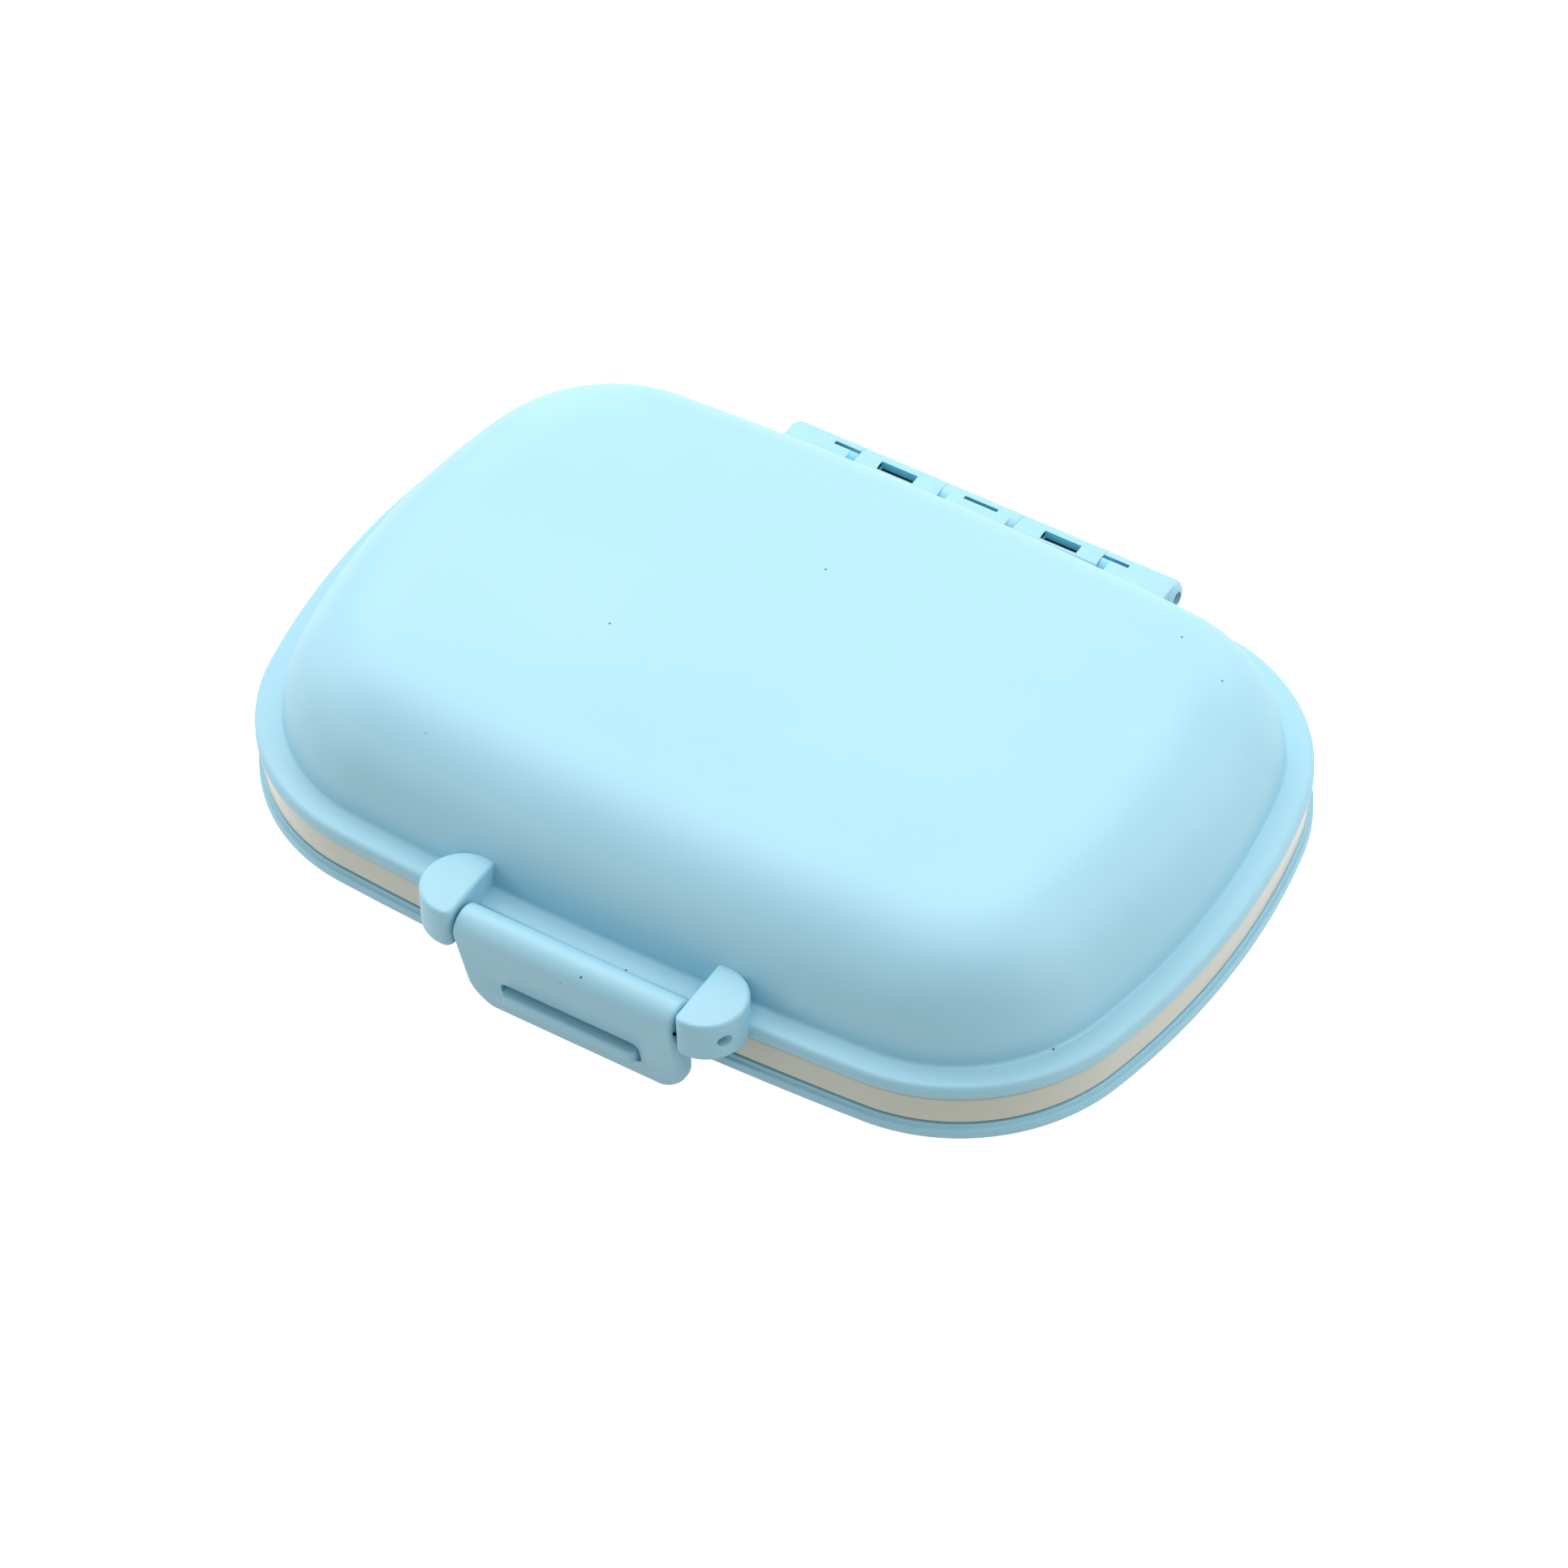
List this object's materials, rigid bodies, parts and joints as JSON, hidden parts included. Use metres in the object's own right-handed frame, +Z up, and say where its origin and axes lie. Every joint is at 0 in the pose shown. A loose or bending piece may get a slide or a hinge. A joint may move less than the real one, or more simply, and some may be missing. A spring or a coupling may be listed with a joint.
{
  "type": "pill organizer",
  "caption": "Clamshell travel pill organizer: domed matte plastic lid and bowl base, pinned back hinge, slotted front latch, white lift-out tray of cells with removable cross walls.",
  "frame": {"origin": "centre of the flat underside that the closed case stands on", "axes": "+X runs along the length of the case, -Y points to the latch at the front, +Y to the hinge at the back, +Z up through the dome of the lid"},
  "size_m": [0.12, 0.0927, 0.0318],
  "materials": {
    "lid_plastic": "fine-textured pale blue polypropylene",
    "base_plastic": "fine-textured pale blue polypropylene",
    "tray_plastic": "smooth white polypropylene",
    "divider_plastic": "smooth white polypropylene",
    "liner_plastic": "smooth white polypropylene",
    "seal_silicone": "soft translucent white silicone",
    "latch_plastic": "fine-textured pale blue polypropylene",
    "pin_steel": "drawn steel wire"
  },
  "bodies": {
    "case_base": {"base_shell": "base_plastic", "compartment_tray": "tray_plastic", "cross_divider_1": "divider_plastic", "cross_divider_2": "divider_plastic", "cross_divider_3": "divider_plastic", "cross_divider_4": "divider_plastic", "cross_divider_5": "divider_plastic", "cross_divider_6": "divider_plastic", "hinge_pin": "pin_steel"},
    "lid": {"lid_shell": "lid_plastic", "lid_liner": "liner_plastic", "liner_seal": "seal_silicone", "latch_pin": "pin_steel"},
    "latch": {"latch_plate": "latch_plastic"}
  },
  "joints": [
    {"name": "lid_hinge", "type": "hinge", "parent": "case_base", "child": "lid", "pos_m": [0, 0.04405, 0.0155], "axis": [-1, 0, 0], "range_deg": [0, 175]},
    {"name": "latch_pivot", "type": "hinge", "parent": "lid", "child": "latch", "pos_m": [0, -0.04425, 0.01915], "axis": [-1, 0, 0], "range_deg": [0, 210]}
  ]
}
